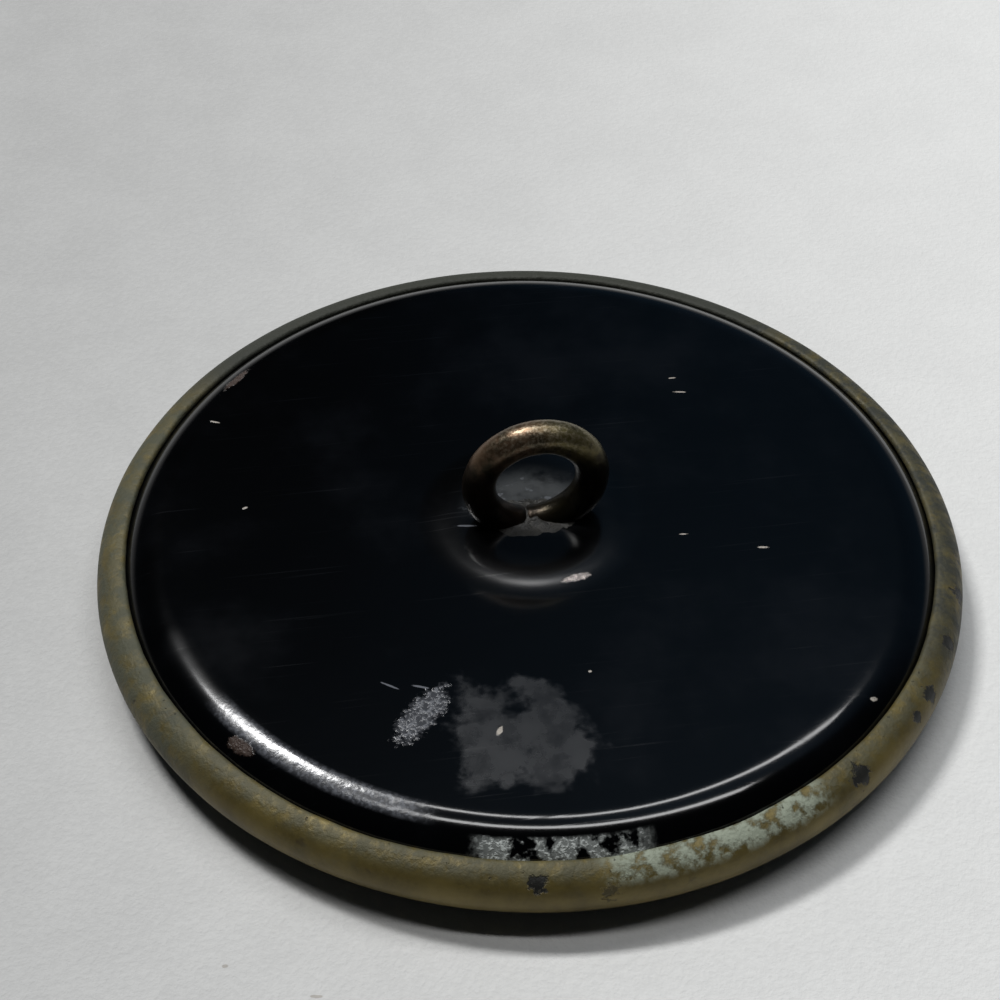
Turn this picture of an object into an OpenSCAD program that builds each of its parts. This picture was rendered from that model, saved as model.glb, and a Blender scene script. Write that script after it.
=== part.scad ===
// Shank button, lying face down with the wire eye up.
// Origin: centre of the face, in the plane of the resting border. +Z runs up
// through the eye, and the eye's hole runs along Y. Millimetres.

/* [Button] */
// Diameter over the rim
button_d = 38.1; // [36:0.1:42]
// Height of the flat of the back plate above the table
plate_top = 3.65; // [3.55:0.05:3.75]

/* [Rim] */
// Radius of the rolled section, outside
roll_r = 1.2; // [1.15:0.05:1.25]
// Thickness of the rim's brass sheet
rim_t = 0.35; // [0.3:0.05:0.4]
// Width of the flange turned in under the face
rim_flange_w = 0.85; // [0.7:0.05:1]

/* [Back plate] */
// Thickness of the lacquered steel sheet
plate_t = 0.4; // [0.35:0.05:0.45]
// Radius of the rolled-off shoulder
shoulder_r = 2.3; // [2.2:0.05:2.4]
// Height of the raised pad in the middle
pad_h = 0.15; // [0.12:0.01:0.2]
// Radius of the flat of the raised pad
pad_flat_r = 3; // [2.95:0.05:3.1]
// Steepest slope of the pad's soft edge, in degrees
pad_lean = 8.5; // [8:0.5:10]

/* [Shank] */
// Wire diameter
wire_d = 1.42; // [1.3:0.02:1.5]
// Radius of the eye, to the middle of the wire
eye_r = 2.5; // [2.4:0.05:2.7]
// Radius of the hole in the eye, worn by the thread
eye_hole_r = 1.81; // [1.8:0.01:1.85]
// Radius of the bends under the washer, to the middle of the wire
bend_r = 0.85; // [0.8:0.01:0.9]
// Height of the middle of the eye above the table
eye_z = 5.9; // [5.85:0.05:5.95]
// Distance from the centre line to each leg
leg_x = 1.05; // [1:0.05:1.1]
// Reach of each clenched foot from the centre line
foot_reach = 3.2; // [3:0.1:3.6]

/* [Packing] */
// Thickness of the washer under the pad
washer_t = 0.3; // [0.25:0.01:0.32]
// Thickness of the tinned liner
liner_t = 0.3; // [0.25:0.05:0.3]
// Radius of the hole in the pasteboard
board_hole_r = 5.1; // [5.1:0.1:6]

/* [Face] */
// Thickness of the face's brass sheet
face_t = 0.35; // [0.3:0.05:0.35]
// How far the face stands out below the rim
face_drop = 0.65; // [0.6:0.05:0.7]

/* [Hidden] */
$fn = 144;
tall = 20;
eps = 0.01;

// Rim: a roll of circular section, centred on (roll_x, roll_z)
roll_x = button_d / 2 - roll_r;
roll_z = face_drop + roll_r;
roll_in_r = roll_r - rim_t;
lip_x = roll_x - 0.07;

// Stack of edges inside the roll, from the face up
flange_z = face_drop + rim_t;
liner_z = flange_z + face_t;
stack_z = liner_z + liner_t;

// Back plate: flat field, shoulder arc, edge curled inside the roll
shoulder_x = roll_x - 1.95;
shoulder_z = plate_top - shoulder_r;
plate_under = plate_top - plate_t;
pad_top = plate_top + pad_h;
pad_under = pad_top - plate_t;
// Radius of the two bends of the pad's edge, which meet at pad_lean
pad_bend_r = pad_h / (2 * (1 - cos(pad_lean)));
pad_foot_r = pad_flat_r + 2 * pad_bend_r * sin(pad_lean);
slot_w = wire_d + 0.04;

// Eye: a foot's top bears on the washer, and the ring runs into the legs
wire_r = wire_d / 2;
washer_z = pad_under - washer_t;
foot_z = washer_z - wire_r;
bend_z = foot_z + bend_r;
// Half angle, from straight down, at which the ring ends over its legs
neck_a = asin(leg_x / eye_r);
leg_top = eye_z - eye_r * cos(neck_a) + 0.3;
// Half width at which the eye's round outside crosses height z
function eye_half_w(z) = sqrt(pow(eye_r + wire_r, 2) - pow(eye_z - z, 2));
plate_slot_l = 2 * (eye_half_w(pad_top) + 0.06);
washer_slot_l = 2 * (eye_half_w(pad_under) + 0.14);
washer_d = 2 * (pad_flat_r - 0.1);

// Solder: a low mound over the slot, clear of the hole in the eye
solder_r = 2.75;
solder_h = eye_z - eye_hole_r - pad_top - 0.035;
solder_ball_r = (pow(solder_r, 2) + pow(solder_h, 2)) / (2 * solder_h);

// Pasteboard: bevelled to lie inside the shoulder
board_r = roll_x - 0.6;
board_edge_z = stack_z + 0.5;

// Face: resting border, cove, bead, field and boss, from the edge inward
border_out = roll_x - rim_flange_w - 0.05;
border_in = roll_x - 3.05;
cove_x = border_in - 1.4;
cove_z = -0.9;
cove_r = sqrt(pow(border_in - cove_x, 2) + pow(cove_z, 2));
bead_r = 0.6;
bead_x = cove_x - 1.95;
field_z = 0.45;
boss_r = 4;
boss_h = 0.33;
boss_ball_r = (pow(boss_r, 2) + pow(boss_h, 2)) / (2 * boss_h);

// Ring-shaped section between two radii about the point [x, z]
module ring_2d(x, z, inner, outer) {
  translate([x, z])
    difference() {
      circle(r = outer);
      circle(r = inner);
    }
}

// Rectangle from x0 to x1 and from z0 to z1
module box_2d(x0, x1, z0, z1) {
  translate([x0, z0])
    square([x1 - x0, z1 - z0]);
}

// Turns a section drawn in X and Z about the button's axis
module turned() {
  rotate_extrude($fn = 240)
    children();
}

// Bent wire in the XZ plane about [x, z], from angle a0 through sweep degrees
module wire_bend(x, z, radius, a0, sweep) {
  translate([x, 0, z])
    rotate([90, 0, 0])
      rotate([0, 0, a0])
        rotate_extrude(angle = sweep, $fn = 96)
          translate([radius, 0])
            circle(d = wire_d, $fn = 48);
}

// One leg: down through the plate and washer, then clenched outward
module leg() {
  translate([leg_x, 0, bend_z])
    cylinder(d = wire_d, h = leg_top - bend_z, $fn = 48);
  wire_bend(leg_x + bend_r, bend_z, bend_r, 180, 90);
  translate([leg_x + bend_r, 0, foot_z])
    rotate([0, 90, 0])
      cylinder(d = wire_d, h = foot_reach - leg_x - bend_r, $fn = 48);
}

// The whole wire: a round eye, open at the bottom, on two clenched legs
module wire() {
  difference() {
    union() {
      wire_bend(0, eye_z, eye_r, neck_a - 90, 360 - 2 * neck_a);
      leg();
      mirror([1, 0, 0])
        leg();
    }
    translate([0, 0, eye_z])
      rotate([90, 0, 0])
        cylinder(r = eye_hole_r, h = wire_d, center = true);
  }
}

// Slot along X for the wire, through a sheet from z0 to z1
module wire_slot(length, z0, z1) {
  translate([-length / 2, -slot_w / 2, z0])
    cube([length, slot_w, z1 - z0]);
}

// Area under the back plate's top surface, drawn in by d
module plate_under_2d(d) {
  // The upper bend of the pad's edge runs into the lower one here
  mid_r = pad_flat_r + (pad_bend_r - d) * sin(pad_lean);
  box_2d(0, shoulder_x, stack_z, plate_top - d);
  box_2d(0, pad_flat_r, stack_z, pad_top - d);
  intersection() {
    translate([pad_flat_r, pad_top - pad_bend_r])
      circle(r = pad_bend_r - d, $fn = 720);
    box_2d(pad_flat_r, mid_r, stack_z, tall);
  }
  difference() {
    box_2d(mid_r, pad_foot_r, stack_z, pad_top);
    translate([pad_foot_r, plate_top + pad_bend_r])
      circle(r = pad_bend_r + d, $fn = 720);
  }
}

module plate_2d() {
  // Field and raised pad
  difference() {
    plate_under_2d(0);
    plate_under_2d(plate_t);
    box_2d(-eps, shoulder_x + eps, 0, shoulder_z + 1);
  }
  // Shoulder, down to where the edge is curled
  difference() {
    intersection() {
      ring_2d(shoulder_x, shoulder_z, shoulder_r - plate_t, shoulder_r);
      box_2d(shoulder_x, roll_x, roll_z + 0.35, plate_top + eps);
    }
    translate([roll_x, roll_z])
      circle(r = roll_in_r - plate_t);
  }
  // Edge curled inside the roll, down to the liner
  difference() {
    intersection() {
      ring_2d(roll_x, roll_z, roll_in_r - plate_t, roll_in_r);
      box_2d(shoulder_x, button_d / 2, stack_z, plate_top);
    }
    translate([shoulder_x, shoulder_z])
      circle(r = shoulder_r - plate_t);
  }
}

// Rolled rim: the roll is open inward, with a lip above and a flange below
module brass_rim() {
  color("#6b6038")
    turned() {
      intersection() {
        ring_2d(roll_x, roll_z, roll_in_r, roll_r);
        union() {
          box_2d(lip_x, button_d, roll_z, tall);
          box_2d(roll_x, button_d, 0, roll_z + eps);
        }
      }
      box_2d(roll_x - rim_flange_w, roll_x, face_drop, flange_z);
    }
}

// Lacquered steel back, stamped with a raised pad and pierced for the shank
module back_plate() {
  color("#14171c")
    difference() {
      turned()
        plate_2d();
      wire_slot(plate_slot_l, 0, tall);
    }
}

// Wire eye with its feet clenched inside the button
module shank_eye() {
  color("#4a3c28")
    wire();
}

// Solder run round the foot of the eye and down into the slot
module shank_solder() {
  color("#5e5546")
    difference() {
      union() {
        wire_slot(plate_slot_l, pad_under, pad_top);
        intersection() {
          translate([0, 0, pad_top + solder_h - solder_ball_r])
            sphere(r = solder_ball_r, $fn = 240);
          translate([0, 0, pad_top])
            cylinder(r = solder_r + 1, h = solder_h + 1);
        }
      }
      wire();
    }
}

// Washer that the feet are clenched against
module clench_washer() {
  color("#9a9b98")
    difference() {
      translate([0, 0, washer_z])
        cylinder(d = washer_d, h = washer_t);
      wire_slot(washer_slot_l, 0, tall);
    }
}

// Pasteboard ring that fills the hollow back
module filler_board() {
  color("#a58a64")
    turned()
      polygon([
        [board_hole_r, stack_z],
        [board_r, stack_z],
        [board_r, board_edge_z],
        [shoulder_x, plate_under],
        [board_hole_r, plate_under]
      ]);
}

// Tinned steel disc that backs the face
module liner_disc() {
  color("#a9aaa6")
    translate([0, 0, liner_z])
      cylinder(r = roll_x + 0.6, h = liner_t, $fn = 240);
}

// Stamped brass face with plain concentric mouldings
module face_disc() {
  color("#8a7840")
    turned() {
      // Flange under the liner, wall and resting border
      box_2d(border_out - face_t, roll_x, flange_z, liner_z);
      box_2d(border_out - face_t, border_out, 0, liner_z);
      box_2d(border_in, border_out, 0, face_t);
      // Cove
      intersection() {
        ring_2d(cove_x, cove_z, cove_r, cove_r + face_t);
        box_2d(0, border_out, 0, flange_z + face_t);
      }
      // Bead
      intersection() {
        ring_2d(bead_x, bead_r + 0.05, bead_r - face_t, bead_r);
        box_2d(0, border_out, 0, bead_r + 0.05);
      }
      // Field
      box_2d(boss_r - 0.2, bead_x - bead_r + face_t, field_z, field_z + face_t);
      // Boss
      intersection() {
        difference() {
          translate([0, field_z - boss_h + boss_ball_r])
            circle(r = boss_ball_r, $fn = 480);
          translate([0, field_z - boss_h + boss_ball_r])
            circle(r = boss_ball_r - face_t, $fn = 480);
        }
        box_2d(0, boss_r, 0, field_z + face_t);
      }
    }
}

brass_rim();
back_plate();
shank_eye();
shank_solder();
clench_washer();
filler_board();
liner_disc();
face_disc();
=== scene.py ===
"""Dresses the shank button: turned metal, lacquer, wire and solder around the CAD frame."""
import logging
import math
from collections.abc import Callable, Sequence
from dataclasses import dataclass
from enum import Enum
from typing import Any

import bmesh
import bpy
from mathutils import Matrix, Vector, noise


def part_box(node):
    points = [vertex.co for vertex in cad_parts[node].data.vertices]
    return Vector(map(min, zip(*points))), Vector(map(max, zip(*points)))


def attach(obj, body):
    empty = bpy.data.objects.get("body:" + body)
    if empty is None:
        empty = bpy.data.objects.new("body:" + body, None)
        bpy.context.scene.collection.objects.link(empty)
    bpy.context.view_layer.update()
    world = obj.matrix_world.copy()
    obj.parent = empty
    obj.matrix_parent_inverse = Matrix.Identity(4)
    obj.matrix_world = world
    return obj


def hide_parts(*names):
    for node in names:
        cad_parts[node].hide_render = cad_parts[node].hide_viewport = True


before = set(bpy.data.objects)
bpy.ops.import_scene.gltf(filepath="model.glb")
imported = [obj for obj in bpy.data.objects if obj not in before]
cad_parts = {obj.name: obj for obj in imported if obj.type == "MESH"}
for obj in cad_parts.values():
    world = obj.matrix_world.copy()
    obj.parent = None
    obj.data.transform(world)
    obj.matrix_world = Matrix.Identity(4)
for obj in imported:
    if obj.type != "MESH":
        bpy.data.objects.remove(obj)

MM = 0.001
BODY = "root"
MERGE = 1e-5
ON_AXIS = 1e-6
LOG = logging.getLogger("button")

Point = tuple[float, float]
Colour = tuple[float, float, float]


# ---------------------------------------------------------------- shader sums


class Value:
    """A number socket of a shader that takes part in Python sums."""

    def __init__(self, shader: "Shader", socket: bpy.types.NodeSocket) -> None:
        """Wraps one output socket.

        Args:
            shader: the shader that the socket belongs to.
            socket: the output socket.
        """
        self.shader = shader
        self.socket = socket

    def __add__(self, other: "Number") -> "Value":
        """Self plus other."""
        return self.shader.math("ADD", self, other)

    def __radd__(self, other: "Number") -> "Value":
        """Other plus self."""
        return self.shader.math("ADD", other, self)

    def __sub__(self, other: "Number") -> "Value":
        """Self minus other."""
        return self.shader.math("SUBTRACT", self, other)

    def __rsub__(self, other: "Number") -> "Value":
        """Other minus self."""
        return self.shader.math("SUBTRACT", other, self)

    def __mul__(self, other: "Number") -> "Value":
        """Self times other."""
        return self.shader.math("MULTIPLY", self, other)

    def __rmul__(self, other: "Number") -> "Value":
        """Other times self."""
        return self.shader.math("MULTIPLY", other, self)

    def __truediv__(self, other: "Number") -> "Value":
        """Self over other."""
        return self.shader.math("DIVIDE", self, other)

    def __pow__(self, other: "Number") -> "Value":
        """Self to the power of other."""
        return self.shader.math("POWER", self, other)

    def __or__(self, other: "Value") -> "Value":
        """The larger of two masks."""
        return self.shader.math("MAXIMUM", self, other)

    def root(self) -> "Value":
        """The square root."""
        return self.shader.math("SQRT", self)

    def step(self, low: float, high: float) -> "Value":
        """A smooth step from 0 at low to 1 at high; low may lie above high.

        Args:
            low: where the step starts.
            high: where it ends.

        Returns:
            The step, from 0 to 1.
        """
        node = self.shader.node(
            "ShaderNodeMapRange",
            {"interpolation_type": "SMOOTHSTEP"},
            {"Value": self, "From Min": low, "From Max": high, "To Min": 0.0, "To Max": 1.0},
        )
        return Value(self.shader, node.outputs["Result"])


Number = float | Value


class Shader:
    """One node tree, built by sums on values and by a single method for any other node."""

    def __init__(self, tree: bpy.types.NodeTree) -> None:
        """Empties the tree.

        Args:
            tree: the tree of a material or of the world.
        """
        self.tree = tree
        self.tree.nodes.clear()
        self._place: bpy.types.NodeSocket | None = None

    def node(
        self,
        kind: str,
        settings: dict[str, Any] | None = None,
        sockets: dict[str | int, Any] | None = None,
    ) -> bpy.types.Node:
        """Adds a node.

        Args:
            kind: the node's type.
            settings: the node's properties, which are set first.
            sockets: values, Values or output sockets for the node's inputs.

        Returns:
            The new node.
        """
        node = self.tree.nodes.new(kind)
        for name, setting in (settings or {}).items():
            setattr(node, name, setting)
        for name, content in (sockets or {}).items():
            self.feed(node.inputs[name], content)
        return node

    def feed(self, target: bpy.types.NodeSocket, content: Any) -> None:
        """Sets an input socket, or links to it.

        Args:
            target: the input socket.
            content: a number, a colour, a Value or an output socket.
        """
        if isinstance(content, Value):
            content = content.socket
        if isinstance(content, bpy.types.NodeSocket):
            self.tree.links.new(content, target)
        elif target.type == "RGBA" and len(content) == 3:
            target.default_value = (*content, 1.0)
        else:
            target.default_value = content

    def math(self, operation: str, *terms: Number) -> Value:
        """Adds a Math node.

        Args:
            operation: the node's operation.
            terms: numbers or Values.

        Returns:
            The result.
        """
        node = self.node("ShaderNodeMath", {"operation": operation}, dict(enumerate(terms)))
        return Value(self, node.outputs[0])

    def mix(self, factor: Number, first: Any, second: Any) -> bpy.types.NodeSocket:
        """Mixes two colours.

        Args:
            factor: 0 gives the first, 1 the second.
            first: a colour or a colour socket.
            second: a colour or a colour socket.

        Returns:
            The mixed colour's socket.
        """
        node = self.node("ShaderNodeMix", {"data_type": "RGBA"}, {0: factor, 6: first, 7: second})
        return node.outputs[2]

    def place(self) -> bpy.types.NodeSocket:
        """The point on the piece.

        Returns:
            The socket of its place in millimetres, made once.
        """
        if self._place is None:
            here = self.node("ShaderNodeTexCoord").outputs["Object"]
            scaled = self.node(
                "ShaderNodeVectorMath", {"operation": "SCALE"}, {0: here, "Scale": 1.0 / MM}
            )
            self._place = scaled.outputs[0]
        return self._place

    def axes(self) -> tuple[Value, Value, Value]:
        """The point on the piece as three numbers, in millimetres."""
        parts = self.node("ShaderNodeSeparateXYZ", None, {0: self.place()})
        return tuple(Value(self, output) for output in parts.outputs)

    def noise(
        self,
        size: float,
        detail: float = 3.0,
        rough: float = 0.5,
        stretch: tuple[float, float, float] = (1.0, 1.0, 1.0),
        seed: float = 0.0,
    ) -> Value:
        """Cloudy noise, about 0.5 on average.

        Args:
            size: size of its clouds in millimetres.
            detail: octaves.
            rough: strength of the finer octaves.
            stretch: how much longer the clouds are along each axis.
            seed: a shift that gives another pattern.

        Returns:
            The noise.
        """
        mapped = self.node(
            "ShaderNodeMapping",
            None,
            {
                "Vector": self.place(),
                "Location": (seed, seed * 0.7, seed * 0.3),
                "Scale": tuple(1.0 / (size * s) for s in stretch),
            },
        )
        node = self.node(
            "ShaderNodeTexNoise",
            None,
            {"Vector": mapped.outputs[0], "Scale": 1.0, "Detail": detail, "Roughness": rough},
        )
        return Value(self, node.outputs[0])

    def sector(self, middle: float, half: float) -> Value:
        """A soft mask over one stretch of the button's round.

        Args:
            middle: the stretch's middle, in degrees from +X.
            half: half the stretch, in degrees.

        Returns:
            The mask.
        """
        x, y, _ = self.axes()
        turn = math.radians(middle)
        ahead = (x * math.cos(turn) + y * math.sin(turn)) / ((x * x + y * y).root() + 0.01)
        return ahead.step(math.cos(math.radians(half)), math.cos(math.radians(half * 0.7)))

    def bump(self, height: Number, depth: float, under: Any = None) -> bpy.types.NodeSocket:
        """A bump in the surface.

        Args:
            height: the height map, about 0 to 1.
            depth: depth of a whole unit of height in millimetres.
            under: the normal of an earlier bump.

        Returns:
            The normal's socket.
        """
        sockets = {"Height": height, "Distance": depth * MM, "Strength": 1.0}
        if under is not None:
            sockets["Normal"] = under
        return self.node("ShaderNodeBump", None, sockets).outputs[0]

    def surface(self, **sockets: Any) -> None:
        """Ends the tree in one Principled shader.

        Args:
            sockets: its inputs, with underscores for spaces.
        """
        named = {name.replace("_", " "): content for name, content in sockets.items()}
        principled = self.node("ShaderNodeBsdfPrincipled", None, named)
        self.node("ShaderNodeOutputMaterial", None, {"Surface": principled.outputs[0]})


def new_shader(name: str) -> tuple[bpy.types.Material, Shader]:
    """Makes an empty material.

    Args:
        name: the material's name.

    Returns:
        The material and its shader.
    """
    material = bpy.data.materials.new(name)
    material.use_nodes = True
    return material, Shader(material.node_tree)


# ------------------------------------------------------------------- finishes


class MarkKind(Enum):
    """What a mark in the lacquer is."""

    DUST = "dust"
    SCRAPE = "scrape"
    RUST = "rust"
    SMEAR = "smear"
    FLAKED = "flaked"
    CHIP_GLINT = "chip_glint"


@dataclass(frozen=True)
class Mark:
    """One mark on the back, in millimetres from the middle."""

    kind: MarkKind
    x: float
    y: float
    length: float
    width: float
    turn: float = 0.0

    def mask(self, shader: Shader, ragged: Number) -> Value:
        """How much of the mark covers each point.

        Args:
            shader: the shader to add it to.
            ragged: noise about 0 that makes its edge uneven.

        Returns:
            The cover, from 0 to 1.
        """
        x, y, _ = shader.axes()
        turn = math.radians(self.turn)
        along = (x - self.x) * math.cos(turn) + (y - self.y) * math.sin(turn)
        across = (y - self.y) * math.cos(turn) - (x - self.x) * math.sin(turn)
        far = ((along / (self.length / 2)) ** 2.0 + (across / (self.width / 2)) ** 2.0).root()
        return (far + ragged).step(1.0, 0.6)


MARKS = (
    Mark(MarkKind.DUST, -12.33, 2.38, 0.34, 0.16, 20),
    Mark(MarkKind.DUST, 9.68, -3.25, 0.55, 0.12, -8),
    Mark(MarkKind.DUST, 6.43, -1.98, 0.5, 0.1, -5),
    Mark(MarkKind.DUST, 8.11, 8.23, 0.5, 0.12, 0),
    Mark(MarkKind.DUST, 8.28, 7.2, 0.7, 0.1, -10),
    Mark(MarkKind.DUST, -3.08, -11.66, 0.55, 0.26, 60),
    Mark(MarkKind.DUST, -13.37, 8.22, 0.6, 0.12, -25),
    Mark(MarkKind.DUST, 12.16, -11.97, 0.4, 0.22, 20),
    Mark(MarkKind.DUST, 1.01, -9.1, 0.16, 0.12, 0),
    Mark(MarkKind.SCRAPE, -2.85, -0.27, 1.1, 0.13, -8),
    Mark(MarkKind.SCRAPE, -7.13, -8.72, 1.0, 0.1, -35),
    Mark(MarkKind.SCRAPE, -5.9, -8.95, 0.9, 0.12, -20),
    Mark(MarkKind.FLAKED, -6.05, -10.35, 3.7, 1.55, 50),
    Mark(MarkKind.CHIP_GLINT, 1.4, -3.9, 1.5, 0.42, 14),
    Mark(MarkKind.RUST, -12.2, 11.2, 1.9, 0.5, 47),
    Mark(MarkKind.RUST, -13.3, -10.7, 1.5, 0.6, -45),
    Mark(MarkKind.SMEAR, -2.6, -12.0, 6.4, 6.0, 0),
    Mark(MarkKind.SMEAR, -0.6, -13.0, 3.6, 3.0, 20),
)


@dataclass(frozen=True)
class Zone:
    """A stretch of one ring of the back, in millimetres from the axis and degrees from +X."""

    inner: Point
    outer: Point
    middle: float
    half: float

    def mask(self, shader: Shader, radius: Value) -> Value:
        """How much of the zone covers each point.

        Args:
            shader: the shader to add it to.
            radius: distance from the axis.

        Returns:
            The cover, from 0 to 1.
        """
        ring = radius.step(*self.inner) * radius.step(*self.outer)
        return ring * shader.sector(self.middle, self.half)


@dataclass(frozen=True)
class LacquerFinish:
    """Old black baked lacquer: glossy, hazed, with scuffs and flaked spots; painted highlights on
    the shoulder's scuffs and on a chipped spot of the pad, and a painted reflection round the
    shank's far side.
    """

    body: Colour = (0.0007, 0.0008, 0.001)
    haze: Colour = (0.004, 0.0045, 0.006)
    smear: Colour = (0.0065, 0.008, 0.0105)
    # Mottled grey round the shank's far side: wear, and a painted reflection of the lit plate.
    wear_and_sheen: Colour = (0.05, 0.053, 0.054)
    flake: Colour = (0.2, 0.21, 0.235)
    # Near white of the chipped spot on the pad: lacquer chipped away, and a painted highlight on
    # its lit top.
    chip_glint: Colour = (0.75, 0.66, 0.62)
    dust: Colour = (0.45, 0.41, 0.36)
    rust: Colour = (0.055, 0.033, 0.024)
    salts: Colour = (0.46, 0.49, 0.47)
    # Stretch of the shoulder with scuffs; its colour is also lightened as a painted highlight along
    # the streak there.
    scuff_and_highlight: Zone = Zone((15.9, 16.2), (16.95, 16.7), 229.0, 20.0)
    dulled: Zone = Zone((15.6, 16.2), (17.2, 16.9), 208.0, 14.0)
    salts_edge: Point = (16.9, 17.15)
    salts_middle: float = 265.0
    salts_half: float = 12.5
    collar_edge: Point = (3.4, 1.8)
    rubbed_edge: Point = (5.4, 3.2)

    def material(self) -> bpy.types.Material:
        """Builds the material.

        Returns:
            The lacquer.
        """
        material, s = new_shader("black_lacquer")
        x, y, _ = s.axes()
        radius = (x * x + y * y).root()
        blotch = s.noise(1.1, 4.0, 0.6, seed=17.0)
        grit = s.noise(0.18, 2.0, 0.6, seed=5.0).step(0.42, 0.66)
        ragged = (s.noise(0.35, 4.0, 0.7) - 0.5) * 1.4
        torn = (s.noise(1.7, 3.0, 0.5, seed=27.0) - 0.5) * 2.2 + ragged * 0.25
        edges = {kind: torn if kind is MarkKind.SMEAR else ragged for kind in MarkKind}
        cover = {kind: self._cover(s, kind, edges[kind]) for kind in MarkKind}

        cloud = s.noise(6.0, 4.0, 0.55, seed=3.0).step(0.45, 0.75)
        hairs = s.noise(0.5, 2.0, 0.6, (14.0, 0.35, 1.0), seed=9.0).step(0.62, 0.78)
        edge = (radius + torn * 0.14).step(*self.salts_edge)
        edge = edge * s.sector(self.salts_middle, self.salts_half)
        salts = edge * blotch.step(0.4, 0.5) * (0.4 + 0.6 * grit)
        scuff_and_highlight = self.scuff_and_highlight.mask(s, radius)
        dulled = self.dulled.mask(s, radius)
        smear = cover[MarkKind.SMEAR] * (0.65 + 0.35 * blotch.step(0.3, 0.62))
        flake = cover[MarkKind.FLAKED] * (0.22 + 0.4 * grit)
        collar = radius.step(*self.collar_edge) * y.step(0.0, 1.2)
        rubbed = radius.step(*self.rubbed_edge)
        chips = collar * s.noise(0.4, 2.0, 0.5, seed=37.0).step(0.62, 0.68)

        colour = s.mix(cloud * 0.5 + hairs * 0.35, self.body, self.haze)
        colour = s.mix(smear * 0.85, colour, self.smear)
        # The shoulder's stretch of scuffs is lightened with the flake colour: scuffing, and a
        # painted highlight along the shoulder's streak.
        colour = s.mix(scuff_and_highlight * (0.2 + grit * 0.4) + chips * 0.6, colour, self.flake)
        # Round the shank's far side the lacquer is painted mottled grey: wear, and a painted
        # reflection of the lit plate.
        colour = s.mix(collar * blotch.step(0.25, 0.6) * 0.8, colour, self.wear_and_sheen)
        colour = s.mix(flake, colour, self.flake)
        colour = s.mix(cover[MarkKind.SCRAPE] * 0.7, colour, self.flake)
        colour = s.mix(cover[MarkKind.DUST], colour, self.dust)
        # The chipped spot on the pad is painted near white: lacquer chipped away, and a painted
        # highlight on its lit top.
        colour = s.mix(cover[MarkKind.CHIP_GLINT] * (0.4 + 0.6 * grit), colour, self.chip_glint)
        colour = s.mix(cover[MarkKind.RUST] * 0.85, colour, self.rust)
        colour = s.mix(salts, colour, self.salts)
        dull = cover[MarkKind.RUST] | flake | salts | cover[MarkKind.DUST]
        rough = 0.1 + cloud * 0.05 + hairs * 0.06 + smear * 0.2 + dull * 0.45
        rough = rough + scuff_and_highlight * 0.08 + dulled * 0.04 + (collar | (rubbed * 0.3)) * 0.2
        waves = s.bump(s.noise(3.2, 2.0, 0.4, seed=2.0), 0.012)
        scratches = s.bump(hairs, 0.0006, waves)
        pocks = s.bump(s.noise(0.5, 3.0, 0.6, seed=7.0) * scuff_and_highlight, 0.016, scratches)
        relief = s.bump((dull | cover[MarkKind.CHIP_GLINT]) * grit, 0.03, pocks)
        s.surface(Base_Color=colour, Roughness=rough, Normal=relief, IOR=1.5)
        return material

    @staticmethod
    def _cover(shader: Shader, kind: MarkKind, ragged: Value) -> Value:
        """Joins all marks of a kind.

        Args:
            shader: the shader to add them to.
            kind: the kind of mark.
            ragged: noise about 0 for their edges.

        Returns:
            The largest cover at each point.
        """
        masks = [mark.mask(shader, ragged) for mark in MARKS if mark.kind is kind]
        joined = masks[0]
        for mask in masks[1:]:
            joined = joined | mask
        return joined


@dataclass(frozen=True)
class Spot:
    """A pit or a stain on the rim, in degrees from +X and in millimetres."""

    turn: float
    height: float
    size: float

    def mask(self, shader: Shader, reach: float, ragged: Number) -> Value:
        """How much of the spot covers each point.

        Args:
            shader: the shader to add it to.
            reach: distance of the rim's face from the axis.
            ragged: noise about 0 that makes its edge uneven.

        Returns:
            The cover, from 0 to 1.
        """
        x, y, z = shader.axes()
        turn = math.radians(self.turn)
        aside = x - reach * math.cos(turn)
        ahead = y - reach * math.sin(turn)
        over = z - self.height
        far = (aside * aside + ahead * ahead + over * over).root() / self.size
        return (far + ragged).step(1.0, 0.7)


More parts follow.
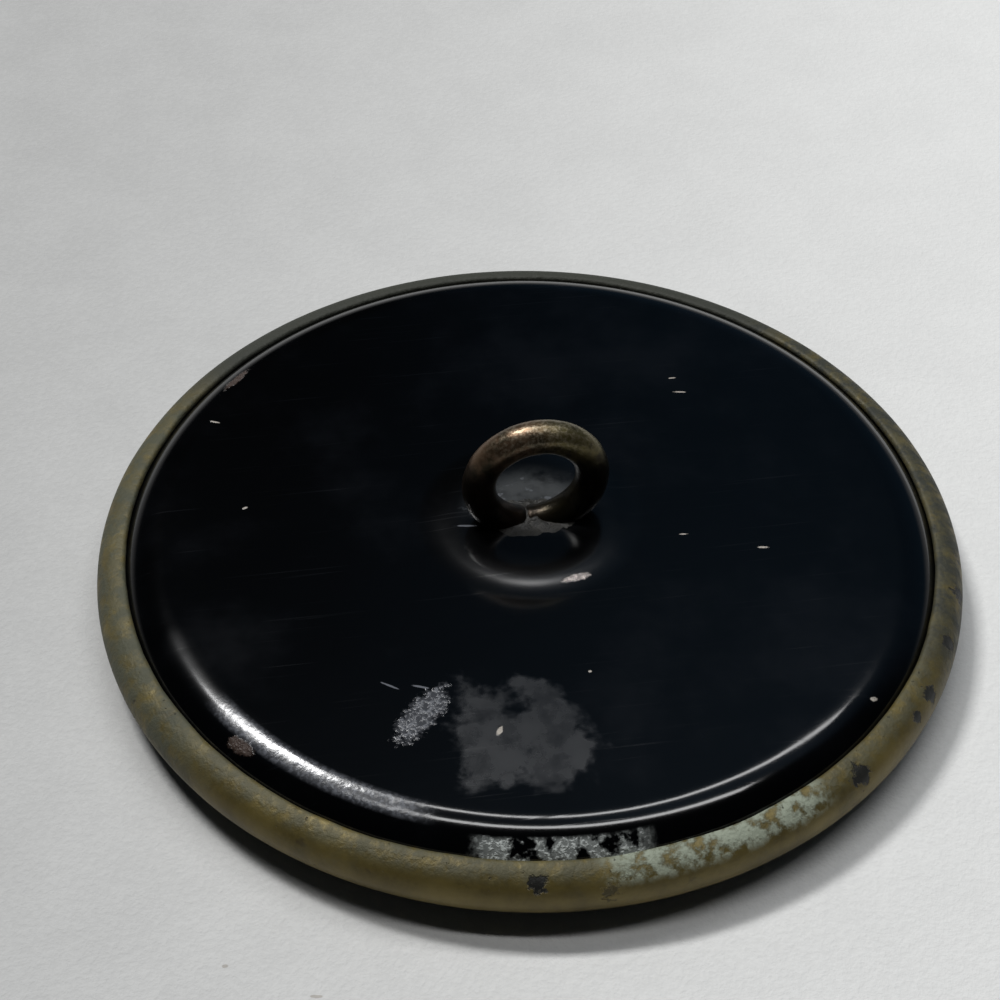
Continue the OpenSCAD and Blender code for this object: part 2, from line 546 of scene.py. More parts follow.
@dataclass(frozen=True)
class BrassFinish:
    """Tarnished brass: oxide, green crust along the lip, pits and stains."""

    name: str
    bright: Colour = (0.17, 0.13, 0.036)
    dull: Colour = (0.085, 0.064, 0.015)
    stain: Colour = (0.035, 0.022, 0.009)
    green: Colour = (0.062, 0.069, 0.048)
    # Dark colour for dirt; the rim uses it for painted shade.
    grime_and_shade: Colour = (0.016, 0.018, 0.015)
    crust: Colour = (0.36, 0.4, 0.31)
    pit: Colour = (0.01, 0.01, 0.008)
    rough: float = 0.4
    metal: float = 0.4

    def material(self) -> bpy.types.Material:
        """Builds the material.

        Returns:
            The brass.
        """
        material, s = new_shader(self.name)
        tone = s.noise(2.4, 5.0, 0.62, seed=4.0).step(0.3, 0.7)
        fine = s.noise(0.22, 3.0, 0.65, seed=8.0)
        stains = s.noise(1.3, 4.0, 0.6, (1.0, 1.0, 0.6), seed=21.0).step(0.62, 0.76)
        green = s.noise(1.6, 4.0, 0.6, seed=31.0).step(0.5, 0.75) * 0.3
        pits = s.noise(0.3, 3.0, 0.6, seed=41.0).step(0.7, 0.76) * 0.6
        colour = s.mix(tone, self.dull, self.bright)
        colour = s.mix(fine.step(0.3, 0.75) * 0.3, colour, self.bright)
        colour = s.mix(stains * 0.6, colour, self.stain)
        green, grime_and_shade, crust, pits = self.corrode(s, green, pits)
        colour = s.mix(green, colour, self.green)
        # Darkening by dirt; on the rim this is painted shade.
        colour = s.mix(grime_and_shade, colour, self.grime_and_shade)
        colour = s.mix(crust, colour, self.crust)
        colour = s.mix(pits, colour, self.pit)
        grown = green | crust
        rough = self.rough + fine * 0.16 + grown * 0.25
        metal = self.metal * (1.0 - grown * 0.8) * (1.0 - (pits | grime_and_shade) * 0.8)
        relief = s.bump(fine, 0.012)
        relief = s.bump(grown * fine - pits, 0.05, relief)
        s.surface(Base_Color=colour, Roughness=rough, Metallic=metal, Normal=relief)
        return material

    def corrode(self, s: Shader, green: Value, pits: Value) -> tuple[Value, Value, Value, Value]:
        """Leaves the corrosion as it is in the clean brass.

        Args:
            s: the shader.
            green: cover of the green oxide.
            pits: cover of the pits.

        Returns:
            The green oxide, the darkening (dirt, and on the rim painted shade), the crust, and the
            pits.
        """
        return green, green * 0.1, green * 0.2, pits


@dataclass(frozen=True)
class RimBrassFinish(BrassFinish):
    """The rim's brass, more corroded along the lip where damp has sat, and painted darker as shade
    on its right, far side and underside.
    """

    reach: float = 18.6
    spots: tuple[Spot, ...] = (
        Spot(261.9, 2.62, 0.42),
        Spot(305.4, 2.6, 0.5),
        Spot(318.0, 2.5, 0.36),
        Spot(322.0, 2.55, 0.45),
        Spot(331.2, 2.6, 0.42),
        Spot(335.0, 2.3, 0.3),
        Spot(340.4, 2.45, 0.5),
        Spot(344.0, 2.1, 0.35),
        Spot(347.0, 2.5, 0.3),
    )
    stains: tuple[Spot, ...] = (Spot(270.2, 2.2, 0.5), Spot(201.8, 2.3, 0.3), Spot(240.0, 1.6, 0.4))

    def corrode(self, s: Shader, green: Value, pits: Value) -> tuple[Value, Value, Value, Value]:
        """Adds the rim's own corrosion, and painted shade on its right, far side and underside.

        Args:
            s: the shader.
            green: cover of the green oxide.
            pits: cover of the pits.

        Returns:
            The green oxide, the painted shade, the crust, and the pits.
        """
        _, _, z = s.axes()
        ragged = (s.noise(0.4, 4.0, 0.7, seed=53.0) - 0.5) * 2.4
        lumps = s.noise(0.6, 4.0, 0.65, seed=51.0)
        along = s.sector(285.0, 17.0)
        crust = along * (z + ragged * 0.12).step(2.4, 2.75) * lumps.step(0.4, 0.6) * 0.85
        left = s.sector(176.0, 46.0) * s.noise(0.9, 4.0, 0.65, seed=61.0).step(0.25, 0.6)
        right = s.sector(20.0, 62.0) * s.noise(0.9, 4.0, 0.65, seed=63.0).step(0.3, 0.65)
        lip = z.step(2.55, 2.95) * lumps.step(0.3, 0.6)
        far = s.sector(90.0, 60.0)
        green = green | (left * 0.85) | (right * 0.85) | (lip * 0.6) | (along * lip) | (far * 0.9)
        # Painted shade: the rim is painted darker on its right side, its far side and under the
        # roll.
        grime_and_shade = (right * 0.75) | (far * 0.7) | (z.step(1.5, 0.9) * 0.9)
        for spot in self.spots:
            pits = pits | spot.mask(s, self.reach, ragged)
        for spot in self.stains:
            pits = pits | (spot.mask(s, self.reach, ragged) * 0.55)
        return green, grime_and_shade, crust, pits


@dataclass(frozen=True)
class WireFinish:
    """Dark bronzed wire, rubbed where thread and hands have touched it, and painted near black as
    shade on its lower part.
    """

    dark: Colour = (0.035, 0.028, 0.014)
    brown: Colour = (0.16, 0.1, 0.06)
    olive: Colour = (0.12, 0.1, 0.04)
    rubbed: Colour = (0.42, 0.36, 0.26)
    # Near black of the eye's lower part: painted shade.
    low_shade: Colour = (0.005, 0.004, 0.003)

    def material(self) -> bpy.types.Material:
        """Builds the material.

        Returns:
            The bronzed wire.
        """
        material, s = new_shader("bronzed_wire")
        x, _, z = s.axes()
        patches = s.noise(0.9, 4.0, 0.6, seed=6.0).step(0.34, 0.62)
        fine = s.noise(0.14, 3.0, 0.65, seed=16.0)
        high = z.step(7.4, 9.2)
        tint = s.mix(x.step(-0.4, 1.4), self.brown, self.olive)
        colour = s.mix(patches, self.dark, tint)
        colour = s.mix(high * fine.step(0.4, 0.7) * 0.6, colour, self.rubbed)
        # Painted shade: the eye's lower part is painted near black.
        colour = s.mix(z.step(7.9, 6.6) * 0.85, colour, self.low_shade)
        rough = 0.24 + fine * 0.16
        relief = s.bump(fine, 0.015)
        s.surface(Base_Color=colour, Roughness=rough, Metallic=0.75, Normal=relief)
        return material


@dataclass(frozen=True)
class DullFinish:
    """A plain matt finish in two tones: solder, tin, pasteboard."""

    name: str
    low: Colour
    high: Colour
    rough: float
    metal: float
    grain: float
    depth: float
    stretch: tuple[float, float, float] = (1.0, 1.0, 1.0)

    def material(self) -> bpy.types.Material:
        """Builds the material.

        Returns:
            The finish.
        """
        material, s = new_shader(self.name)
        coarse = s.noise(self.grain * 4.0, 4.0, 0.6, self.stretch, seed=13.0).step(0.35, 0.65)
        fine = s.noise(self.grain, 3.0, 0.65, self.stretch, seed=23.0)
        colour = s.mix(coarse * 0.7 + fine * 0.3, self.low, self.high)
        s.surface(
            Base_Color=colour,
            Roughness=self.rough + fine * 0.15,
            Metallic=self.metal,
            Normal=s.bump(fine, self.depth),
        )
        return material


@dataclass(frozen=True)
class PaperFinish:
    """Pale paper with a faint tooth, fibres and a few flecks, and a painted light falloff: darker
    to the left and far side, lighter to the right and near side.
    """

    # The two ends of the painted light falloff across the paper.
    shade: Colour = (0.46, 0.46, 0.452)
    light: Colour = (0.93, 0.93, 0.912)
    fleck: Colour = (0.25, 0.2, 0.14)
    flecks: tuple[Mark, ...] = (
        Mark(MarkKind.DUST, -9.7, 17.2, 0.7, 0.5, 20.0),
        Mark(MarkKind.DUST, -11.3, -20.3, 0.55, 0.16, -10.0),
        Mark(MarkKind.DUST, -14.6, -18.5, 0.3, 0.2, 0.0),
    )

    def material(self) -> bpy.types.Material:
        """Builds the material.

        Returns:
            The paper.
        """
        material, s = new_shader("paper")
        x, y, _ = s.axes()
        cloud = s.noise(4.0, 4.0, 0.6, seed=1.0).step(0.25, 0.75)
        tooth = s.noise(0.26, 3.0, 0.6, seed=2.0).step(0.25, 0.75)
        # Painted light falloff: the paper is darker to the left and far side, lighter to the right
        # and near side.
        light_falloff = (x - y * 0.35).step(-45.0, 40.0)
        ragged = (s.noise(0.3, 3.0, 0.6, seed=3.0) - 0.5) * 1.2
        tone = light_falloff * 0.86 + cloud * 0.07 + tooth * 0.07
        colour = s.mix(tone, self.shade, self.light)
        for fleck in self.flecks:
            colour = s.mix(fleck.mask(s, ragged) * 0.45, colour, self.fleck)
        s.surface(
            Base_Color=colour,
            Roughness=0.85,
            Normal=s.bump(tooth, 0.02),
            Specular_IOR_Level=0.2,
        )
        return material


# --------------------------------------------------------------------- meshes


def arc(x: float, z: float, radius: float, start: float, end: float, steps: int) -> list[Point]:
    """Points along an arc in the section plane.

    Args:
        x: the centre's distance from the axis.
        z: the centre's height.
        radius: the arc's radius.
        start: first angle, in degrees from outward.
        end: last angle.
        steps: number of chords.

    Returns:
        The points, both ends included.
    """
    turns = [math.radians(start + (end - start) * i / steps) for i in range(steps + 1)]
    return [(x + radius * math.cos(t), z + radius * math.sin(t)) for t in turns]


def radial(start: float, end: float, z: float, steps: int) -> list[Point]:
    """Points along a level line in the section plane.

    Args:
        start: first distance from the axis.
        end: last distance.
        z: the line's height.
        steps: number of chords.

    Returns:
        The points, both ends included.
    """
    return [(start + (end - start) * i / steps, z) for i in range(steps + 1)]


def wobble(x: float, y: float, z: float, size: float, seed: float) -> float:
    """Smooth noise in space, about -1 to 1.

    Args:
        x: place along X in millimetres.
        y: place along Y.
        z: place along Z.
        size: size of its waves in millimetres.
        seed: a shift that gives another pattern.

    Returns:
        The noise.
    """
    return noise.noise(Vector((x / size + seed, y / size - seed, z / size + seed * 0.5)))


def link(name: str, mesh: bmesh.types.BMesh, sharp: float) -> bpy.types.Object:
    """Turns a mesh in millimetres into a smooth-shaded object in metres.

    Args:
        name: the piece's name.
        mesh: its mesh, which is freed.
        sharp: edges that turn by more than this many degrees stay sharp.

    Returns:
        The new object.
    """
    bmesh.ops.remove_doubles(mesh, verts=mesh.verts, dist=MERGE)
    bmesh.ops.recalc_face_normals(mesh, faces=mesh.faces)
    bmesh.ops.scale(mesh, vec=(MM, MM, MM), verts=mesh.verts)
    data = bpy.data.meshes.new(name)
    mesh.to_mesh(data)
    mesh.free()
    data.shade_smooth()
    data.set_sharp_from_angle(angle=math.radians(sharp))
    piece = bpy.data.objects.new(name, data)
    bpy.context.scene.collection.objects.link(piece)
    return piece


def turned(
    name: str,
    section: Sequence[Point],
    around: int,
    warp: Callable[[Vector], Vector],
    sharp: float = 40.0,
) -> bpy.types.Object:
    """Turns a closed section about the axis, then warps it.

    Args:
        name: the piece's name.
        section: the section's corners, in order, in millimetres.
        around: number of steps round the axis.
        warp: moves each point a little.
        sharp: edges that turn by more than this many degrees stay sharp.

    Returns:
        The piece.
    """
    mesh = bmesh.new()
    columns: list[list[bmesh.types.BMVert]] = []
    for r, z in section:
        if r < ON_AXIS:
            columns.append([mesh.verts.new(warp(Vector((0.0, 0.0, z))))] * around)
            continue
        turns = [2 * math.pi * i / around for i in range(around)]
        ring = [warp(Vector((r * math.cos(t), r * math.sin(t), z))) for t in turns]
        columns.append([mesh.verts.new(point) for point in ring])
    for near, far in zip(columns, columns[1:] + columns[:1]):
        for i in range(around):
            j = (i + 1) % around
            corners = list(dict.fromkeys((near[i], near[j], far[j], far[i])))
            if len(corners) > 2:
                mesh.faces.new(corners)
    return link(name, mesh, sharp)


def swept(
    name: str, path: Sequence[Vector], radii: Sequence[float], around: int, uneven: float
) -> bpy.types.Object:
    """Sweeps a round section along a path in the XZ plane, and closes both ends.

    Args:
        name: the piece's name.
        path: centres of the rings, in millimetres.
        radii: radius of each ring.
        around: points in a ring.
        uneven: how far the surface swells and sinks, in millimetres.

    Returns:
        The piece.
    """
    mesh = bmesh.new()
    rings: list[list[bmesh.types.BMVert]] = []
    side = Vector((0.0, 1.0, 0.0))
    for i, (centre, radius) in enumerate(zip(path, radii)):
        ahead = path[min(i + 1, len(path) - 1)] - path[max(i - 1, 0)]
        up = side.cross(ahead).normalized()
        across = ahead.cross(up).normalized()
        ring = []
        for k in range(around):
            turn = 2 * math.pi * k / around
            out = up * math.cos(turn) + across * math.sin(turn)
            point = centre + out * radius
            point += out * uneven * wobble(*point, 0.7, 5.0)
            ring.append(mesh.verts.new(point))
        rings.append(ring)
    for near, far in zip(rings, rings[1:]):
        for k in range(around):
            m = (k + 1) % around
            mesh.faces.new((near[k], near[m], far[m], far[k]))
    mesh.faces.new(rings[0])
    mesh.faces.new(rings[-1])
    return link(name, mesh, 60.0)


# --------------------------------------------------------------------- pieces


def place_piece(
    piece: bpy.types.Object, material: bpy.types.Material, slot: str, *nodes: str
) -> None:
    """Gives a piece its finish and body, and lets it stand for CAD nodes.

    Args:
        piece: the new piece.
        material: its finish.
        slot: the record's material slot; not used.
        nodes: the CAD nodes that it stands for.
    """
    piece.data.materials.clear()
    piece.data.materials.append(material)
    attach(piece, BODY)
    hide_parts(*nodes)
    LOG.info("%s stands for %s, %d faces", piece.name, ", ".join(nodes), len(piece.data.polygons))


def dress_node(node: str, material: bpy.types.Material) -> None:
    """Gives a CAD node a finish.

    Args:
        node: the node's name.
        material: its finish.
    """
    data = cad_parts[node].data
    data.materials.clear()
    data.materials.append(material)
    LOG.info("%s keeps its CAD shape and takes %s", node, material.name)


@dataclass(frozen=True)
class Sizes:
    """The button's driving sizes in millimetres, read from the frame."""

    outer: float
    rim_low: float
    rim_high: float
    stack: float
    pad_top: float
    eye_top: float

    @classmethod
    def read(cls) -> "Sizes":
        """Reads the boxes of the CAD nodes.

        Returns:
            The sizes.
        """
        rim_low, rim_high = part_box("brass_rim")
        plate_low, plate_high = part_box("back_plate")
        _, eye_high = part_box("shank_eye")
        return cls(
            outer=rim_high.x / MM,
            rim_low=rim_low.z / MM,
            rim_high=rim_high.z / MM,
            stack=plate_low.z / MM,
            pad_top=plate_high.z / MM,
            eye_top=eye_high.z / MM,
        )

    @property
    def roll(self) -> float:
        """Radius of the rim's roll, outside."""
        return (self.rim_high - self.rim_low) / 2

    @property
    def roll_x(self) -> float:
        """Distance of the roll's centre from the axis."""
        return self.outer - self.roll

    @property
    def roll_z(self) -> float:
        """Height of the roll's centre."""
        return (self.rim_high + self.rim_low) / 2


@dataclass
class Rim:
    """The rolled brass rim."""

    sizes: Sizes
    sheet: float = 0.35
    flange: float = 0.85
    lip_turn: float = 88.0
    lip_reach: float = 0.5
    lip_fade: float = 0.6
    slow_wave: float = 0.06
    quick_wave: float = 0.035
    dent: float = 0.015
    around: int = 384

    def section(self) -> list[Point]:
        """The rim's section, from the lip over the outside and back.

        Returns:
            Its corners.
        """
        s = self.sizes
        x, z, outside = s.roll_x, s.roll_z, s.roll
        inside = outside - self.sheet
        middle = (outside + inside) / 2
        turn = math.radians(self.lip_turn)
        lip_x = x + middle * math.cos(turn)
        lip_z = z + middle * math.sin(turn)
        points = arc(x, z, outside, self.lip_turn, -90.0, 48)
        points += radial(x - 0.1, x - self.flange, s.rim_low, 3)
        points += radial(x - self.flange, x, s.rim_low + self.sheet, 3)
        points += arc(x, z, inside, -90.0, self.lip_turn, 36)[1:]
        edge_turn = self.lip_turn - 180.0
        points += arc(lip_x, lip_z, self.sheet / 2, edge_turn, edge_turn - 180.0, 8)[1:-1]
        return points

    def warp(self, point: Vector) -> Vector:
        """Leaves the crimped lip a little uneven, and the roll a little dented.

        Args:
            point: a point of the true form.

        Returns:
            The point as made.
        """
        s = self.sizes
        out = Vector((point.x, point.y, 0.0)).normalized()
        lip = max(0.0, (point.z - s.roll_z) / s.roll) ** 3
        inset = s.roll_x + self.lip_reach - point.xy.length
        lip *= max(0.0, min(1.0, inset / self.lip_fade))
        slow = wobble(point.x, point.y, 0.0, 2.6, 11.0)
        quick = wobble(point.x, point.y, 0.0, 0.9, 12.0)
        dents = wobble(point.x, point.y, point.z, 3.0, 13.0)
        moved = point + out * (lip * (self.slow_wave * slow + self.quick_wave * quick))
        return moved - out * self.dent * (1.0 + dents)

    def build(self, finish: bpy.types.Material) -> None:
        """Makes the rim.

        Args:
            finish: its brass.
        """
        piece = turned("rolled_rim", self.section(), self.around, self.warp)
        place_piece(piece, finish, "rim_brass", "brass_rim")


@dataclass
class Back:
    """The lacquered back plate."""

    sizes: Sizes
    sheet: float = 0.4
    pad_height: float = 0.15
    pad_flat: float = 3.0
    pad_lean: float = 8.5
    shoulder: float = 2.3
    shoulder_inset: float = 1.95
    rim_sheet: float = 0.35
    under_foot: float = 5.0
    held_edge: float = 0.4
    held_fade: float = 1.5
    slow_wave: float = 0.02
    quick_wave: float = 0.006
    sunk: float = 0.01
    around: int = 320

    @property
    def field_z(self) -> float:
        """Height of the plate's flat field."""
        return self.sizes.pad_top - self.pad_height

    def top(self) -> list[Point]:
        """The outside, from the axis to the crease under the lip.

        Returns:
            Its points.
        """
        s = self.sizes
        lean = math.radians(self.pad_lean)
        bend = self.pad_height / (2 * (1 - math.cos(lean)))
        foot_x = self.pad_flat + 2 * bend * math.sin(lean)
        shoulder_x = s.roll_x - self.shoulder_inset
        shoulder_z = self.field_z - self.shoulder
        points = radial(0.0, self.pad_flat, s.pad_top, 12)
        points += arc(self.pad_flat, s.pad_top - bend, bend, 90.0, 90.0 - self.pad_lean, 8)[1:]
        points += arc(foot_x, self.field_z + bend, bend, 270.0 - self.pad_lean, 270.0, 8)[1:]
        points += radial(foot_x, shoulder_x, self.field_z, 40)[1:]
        points += arc(shoulder_x, shoulder_z, self.shoulder, 90.0, 36.0, 28)[1:]
        return points

    def section(self) -> list[Point]:
        """The plate's closed section.

        Returns:
            Its corners.
        """
        s = self.sizes
        inside = s.roll - self.rim_sheet
        low = math.degrees(math.asin((s.stack - s.roll_z) / inside))
        thin = inside - self.sheet
        points = self.top()
        points += arc(s.roll_x, s.roll_z, inside, 92.0, low, 16)
        points += arc(s.roll_x, s.roll_z, thin, low, 118.0, 12)
        shoulder_x = s.roll_x - self.shoulder_inset
        shoulder_z = self.field_z - self.shoulder
        points += arc(shoulder_x, shoulder_z, self.shoulder - self.sheet, 30.0, 90.0, 12)
        pad_under = s.pad_top - self.sheet
        points += [(self.under_foot, self.field_z - self.sheet)]
        points += [(self.pad_flat, pad_under), (0.0, pad_under)]
        return points

    def warp(self, point: Vector) -> Vector:
        """Leaves the sheet slightly wavy, as stamped.

        Args:
            point: a point of the true form.

        Returns:
            The point as made.
        """
        radius = point.xy.length
        inset = self.sizes.roll_x - self.held_edge - radius
        inner = max(0.0, min(1.0, inset / self.held_fade))
        slow = wobble(point.x, point.y, 0.0, 9.0, 21.0)
        quick = wobble(point.x, point.y, 0.0, 3.5, 22.0)
        drop = inner * (self.slow_wave * (slow - 0.6) + self.quick_wave * quick)
        return point + Vector((0.0, 0.0, drop - self.sunk * inner))

    def build(self, finish: bpy.types.Material) -> None:
        """Makes the back plate.

        Args:
            finish: its lacquer.
        """
        piece = turned("lacquered_back", self.section(), self.around, self.warp, 50.0)
        place_piece(piece, finish, "black_lacquer", "back_plate")


@dataclass
class Shank:
    """The wire eye and the solder round its foot."""

    sizes: Sizes
    bend: float = 2.475
    wire: float = 0.73
    seam_turn: float = -9.0
    seam_gap: float = 2.5
    droop: float = 0.06
    droop_turn: float = 40.0
    swing: float = 2.6
    shift: float = 0.12
    headroom: float = 0.005
    uneven: float = 0.018
    end_taper: Point = (0.9, 0.97)
    solder_reach: float = 2.75
    solder_half: Point = (1.15, 0.62)
    skirt_height: float = 0.14
    neck_height: float = 0.1
    lump_height: float = 0.08
    grain_height: float = 0.025
    rings: int = 160

    @property
    def middle(self) -> float:
        """Height of the eye's centre."""
        return self.sizes.eye_top - self.bend - self.wire - self.headroom

    def on_ring(self, turn: float) -> Vector:
        """A point on the eye's centre line.

        Args:
            turn: degrees from straight down, positive towards +X.

        Returns:
            The point.
        """
        angle = math.radians(turn)
        return Vector((self.bend * math.sin(angle), 0.0, self.middle - self.bend * math.cos(angle)))

    def path(self) -> list[Vector]:
        """The wire's centre line, from the left end round to the butted right end.

        Returns:
            Its points.
        """
        first = self.seam_turn - self.seam_gap
        whole = 360.0 - 2 * self.seam_gap
        knots = []
        for i in range(self.rings + 1):
            along = i / self.rings
            nearness = 1.0 - min(along, 1.0 - along) * whole / self.droop_turn
            droop = self.droop * max(0.0, nearness) ** 2
            knots.append(self.on_ring(first - whole * along) - Vector((0.0, 0.0, droop)))
        return [self.lean(point) for point in knots]

    def lean(self, point: Vector) -> Vector:
        """Leans the eye slightly to one side, as it was soldered.

        Args:
            point: a point of the upright eye.

        Returns:
            The point as made.
        """
        lift = max(0.0, point.z - self.sizes.pad_top)
        aside = self.shift + lift * math.tan(math.radians(self.swing))
        return point + Vector((aside, 0.0, 0.0))

    def build_wire(self, finish: bpy.types.Material) -> None:
        """Makes the eye.

        Args:
            finish: its bronzed metal.
        """
        path = self.path()
        radii = [self.wire] * len(path)
        for i, share in enumerate(self.end_taper):
            radii[i] = radii[-1 - i] = self.wire * share
        piece = swept("wire_eye", path, radii, 44, self.uneven)
        place_piece(piece, finish, "bronzed_wire", "shank_eye")

    def solder_height(self, x: float, y: float) -> float:
        """Height of the solder above the pad.

        Args:
            x: place along X.
            y: place along Y.

        Returns:
            The height, below 0 outside the run.
        """
        half_x, half_y = self.solder_half
        reach = math.hypot((x - 0.1) / half_x, (y + 0.1) / half_y)
        ragged = 0.3 * wobble(x, y, 0.0, 0.9, 31.0)
        skirt = self.skirt_height * (1.0 - reach / (1.5 + ragged))
        neck = self.neck_height * math.exp(-((x + 0.2) ** 2) / 1.2 - y * y / 0.5)
        lumps = self.lump_height * wobble(x, y, 0.0, 0.42, 33.0)
        lumps += self.grain_height * wobble(x, y, 0.0, 0.17, 34.0)
        return skirt + neck + lumps * (1.0 if skirt > 0.0 else 0.4)

    def build_solder(self, finish: bpy.types.Material) -> None:
        """Makes the run of solder as a closed lumpy patch.

        Args:
            finish: its dull metal.
        """
        base = self.sizes.pad_top
        around, rows = 112, 40
        floor = base - 0.12
        mesh = bmesh.new()
        centre = mesh.verts.new((0.0, 0.0, base + self.solder_height(0.0, 0.0)))
        rings = []
        for row in range(1, rows + 1):
            radius = self.solder_reach * row / rows
            ring = []
            for i in range(around):
                turn = 2 * math.pi * i / around
                x, y = radius * math.cos(turn), radius * math.sin(turn)
                height = max(floor, base + self.solder_height(x, y))
                ring.append(mesh.verts.new((x, y, floor if row == rows else height)))
            rings.append(ring)
        for i in range(around):
            j = (i + 1) % around
            mesh.faces.new((centre, rings[0][i], rings[0][j]))
            for near, far in zip(rings, rings[1:]):
                mesh.faces.new((near[i], far[i], far[j], near[j]))
        mesh.faces.new(list(reversed(rings[-1])))
        piece = link("solder_run", mesh, 60.0)
        place_piece(piece, finish, "soft_solder", "shank_solder")


# --------------------------------------------------------------------- studio


@dataclass(frozen=True)
class CeilingLamp:
    """A flat lamp in the ceiling; its places and sizes are shares of the ceiling's height."""

    name: str
    across: float
    ahead: float
    width: float
    depth: float
    glow: float
    turn: float = 0.0
    colour: Colour = (1.0, 1.0, 1.0)

    def build(self, height: float) -> None:
        """Hangs the lamp.

        Args:
            height: the ceiling's height over the table, in metres.
        """
        data = bpy.data.lights.new(self.name, "AREA")
        data.shape = "RECTANGLE"
        data.size = self.width * height
        data.size_y = self.depth * height
        data.energy = self.glow * math.pi * data.size * data.size_y
        data.color = self.colour
        lamp = bpy.data.objects.new(self.name, data)
        lamp.location = (self.across * height, self.ahead * height, height)
        lamp.rotation_euler = (0.0, 0.0, math.radians(self.turn))
        lamp.visible_camera = False
        bpy.context.scene.collection.objects.link(lamp)


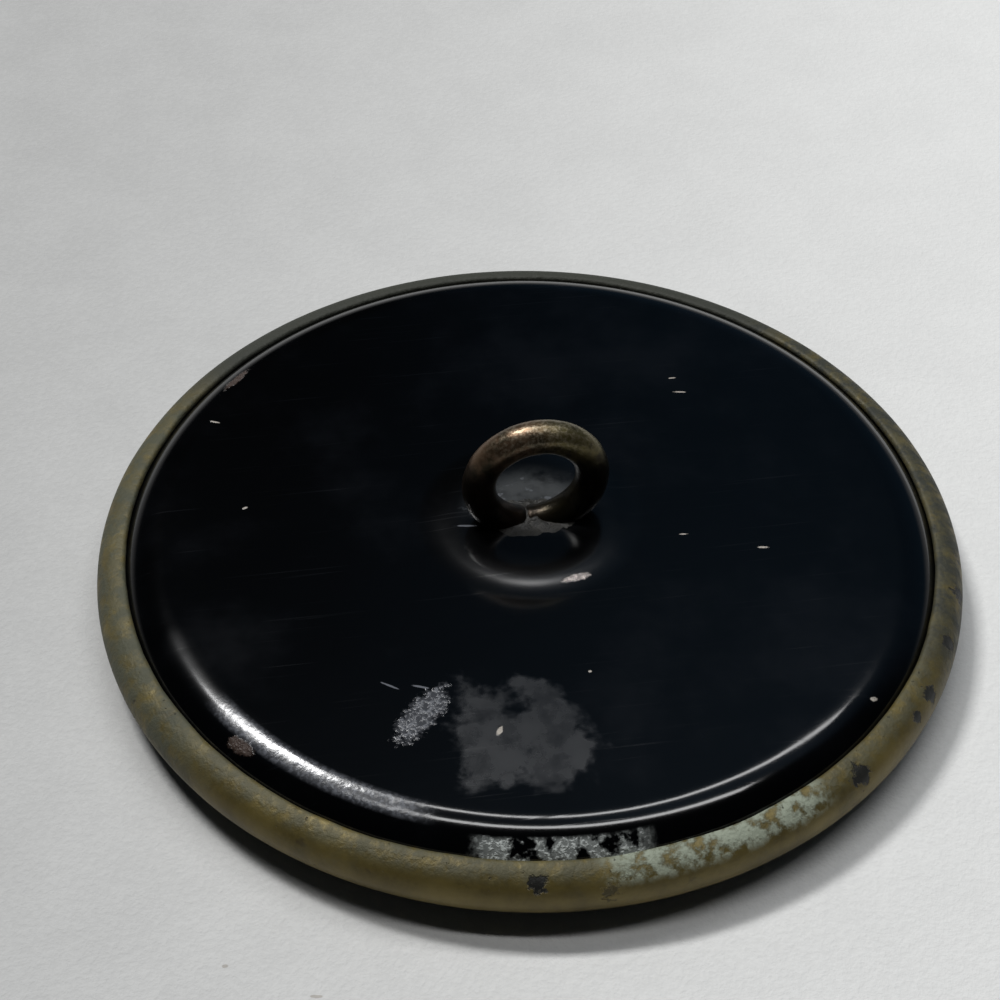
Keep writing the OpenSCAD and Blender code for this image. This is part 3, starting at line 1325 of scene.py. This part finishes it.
@dataclass
class Studio:
    """Pale paper, two long lamps and a bright window overhead, and the camera."""

    sizes: Sizes
    lamp_height: float = 0.5
    paper_side: float = 3.0
    azimuth: float = -10.0
    elevation: float = 45.75
    distance: float = 0.08907
    yaw: float = 0.87
    pitch: float = 1.29
    roll: float = 1.23
    lens: float = 72.0
    dark: Colour = (0.004, 0.005, 0.006)
    blue: Colour = (0.025, 0.05, 0.08)
    ceiling: Colour = (0.1, 0.15, 0.21)
    horizon: Colour = (0.3, 0.3, 0.3)
    blue_side: Point = (-0.02, 0.26)
    far_side: Point = (-0.1, 0.4)
    ceiling_rise: Point = (0.62, 0.95)
    ceiling_ahead: Point = (-0.05, 0.12)
    ceiling_side: Point = (-0.1, 0.25)
    horizon_rise: Point = (0.22, 0.0)
    lamps: tuple[CeilingLamp, ...] = (
        CeilingLamp("far_tube", 0.24, 0.41, 0.8, 0.08, 11.0, -10.0),
        CeilingLamp("near_tube", 0.1, 0.01, 0.85, 0.08, 11.0, -12.0),
        CeilingLamp("window", -0.345, 0.455, 0.3, 0.14, 66.0, -5.0),
    )

    def build_paper(self, finish: bpy.types.Material) -> None:
        """Lays the paper.

        Args:
            finish: its surface.
        """
        half = self.paper_side / 2
        mesh = bmesh.new()
        bmesh.ops.create_grid(mesh, x_segments=2, y_segments=2, size=half)
        data = bpy.data.meshes.new("paper_floor")
        mesh.to_mesh(data)
        mesh.free()
        data.materials.append(finish)
        paper = bpy.data.objects.new("paper_floor", data)
        bpy.context.scene.collection.objects.link(paper)

    def build_lamps(self) -> None:
        """Hangs the lamps."""
        for lamp in self.lamps:
            lamp.build(self.lamp_height)

    def build_world(self) -> None:
        """Makes a dim room: dark on the near side, bluish at the right, paler beyond.

        Each part of the room fades in between two shares of a direction along X, Y or Z.
        """
        world = bpy.data.worlds.new("room")
        world.use_nodes = True
        s = Shader(world.node_tree)
        ahead = s.node("ShaderNodeTexCoord").outputs["Generated"]
        x, y, z = (
            Value(s, output) for output in s.node("ShaderNodeSeparateXYZ", None, {0: ahead}).outputs
        )
        far_side = y.step(*self.far_side)
        colour = s.mix(x.step(*self.blue_side) * far_side, self.dark, self.blue)
        ceiling = z.step(*self.ceiling_rise) * y.step(*self.ceiling_ahead)
        ceiling = ceiling * (0.25 + 0.75 * x.step(*self.ceiling_side))
        colour = s.mix(ceiling, colour, self.ceiling)
        colour = s.mix(z.step(*self.horizon_rise) * far_side, colour, self.horizon)
        background = s.node("ShaderNodeBackground", None, {"Color": colour, "Strength": 1.0})
        s.node("ShaderNodeOutputWorld", None, {"Surface": background.outputs[0]})
        bpy.context.scene.world = world

    def build_camera(self) -> None:
        """Sets the camera at the viewing angle."""
        lift = math.radians(self.elevation)
        back = Vector((0.0, -math.cos(lift), math.sin(lift)))
        right = Vector((1.0, 0.0, 0.0))
        up = back.cross(right)
        turn = (
            Matrix.Rotation(math.radians(self.yaw), 3, up)
            @ Matrix.Rotation(math.radians(self.pitch), 3, right)
            @ Matrix.Rotation(math.radians(self.roll), 3, back)
        )
        swing = Matrix.Rotation(math.radians(self.azimuth), 3, "Z")
        axes = swing @ turn @ Matrix((right, up, back)).transposed()
        middle = Vector((0.0, 0.0, self.sizes.roll_z * MM))
        data = bpy.data.cameras.new("camera")
        data.lens = self.lens
        data.clip_start = 0.001
        camera = bpy.data.objects.new("camera", data)
        place = middle + swing @ (back * self.distance)
        camera.matrix_world = Matrix.Translation(place) @ axes.to_4x4()
        bpy.context.scene.collection.objects.link(camera)
        bpy.context.scene.camera = camera
        bpy.context.scene.view_settings.view_transform = "Standard"


def main() -> None:
    """Builds the button and the studio."""
    logging.basicConfig(level=logging.INFO, format="%(name)s: %(message)s")
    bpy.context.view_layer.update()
    sizes = Sizes.read()
    tin = DullFinish("tinned_steel", (0.42, 0.42, 0.4), (0.6, 0.6, 0.58), 0.4, 0.9, 0.3, 0.01)
    board = DullFinish(
        "pasteboard", (0.3, 0.22, 0.13), (0.5, 0.38, 0.24), 0.85, 0.0, 0.12, 0.04, (1.0, 1.0, 0.3)
    )
    solder = DullFinish(
        "soft_solder", (0.003, 0.003, 0.002), (0.022, 0.02, 0.015), 0.36, 0.1, 0.12, 0.07
    )

    studio = Studio(sizes)
    studio.build_camera()
    studio.build_lamps()
    studio.build_world()
    studio.build_paper(PaperFinish().material())

    Rim(sizes).build(RimBrassFinish("rim_brass").material())
    Back(sizes).build(LacquerFinish().material())
    shank = Shank(sizes)
    shank.build_wire(WireFinish().material())
    shank.build_solder(solder.material())
    face = BrassFinish(
        "face_brass", bright=(0.36, 0.28, 0.12), dull=(0.2, 0.15, 0.06), rough=0.3, metal=0.85
    )
    dress_node("face_disc", face.material())
    tinned = tin.material()
    dress_node("clench_washer", tinned)
    dress_node("liner_disc", tinned)
    dress_node("filler_board", board.material())


if __name__ == "__main__":
    main()
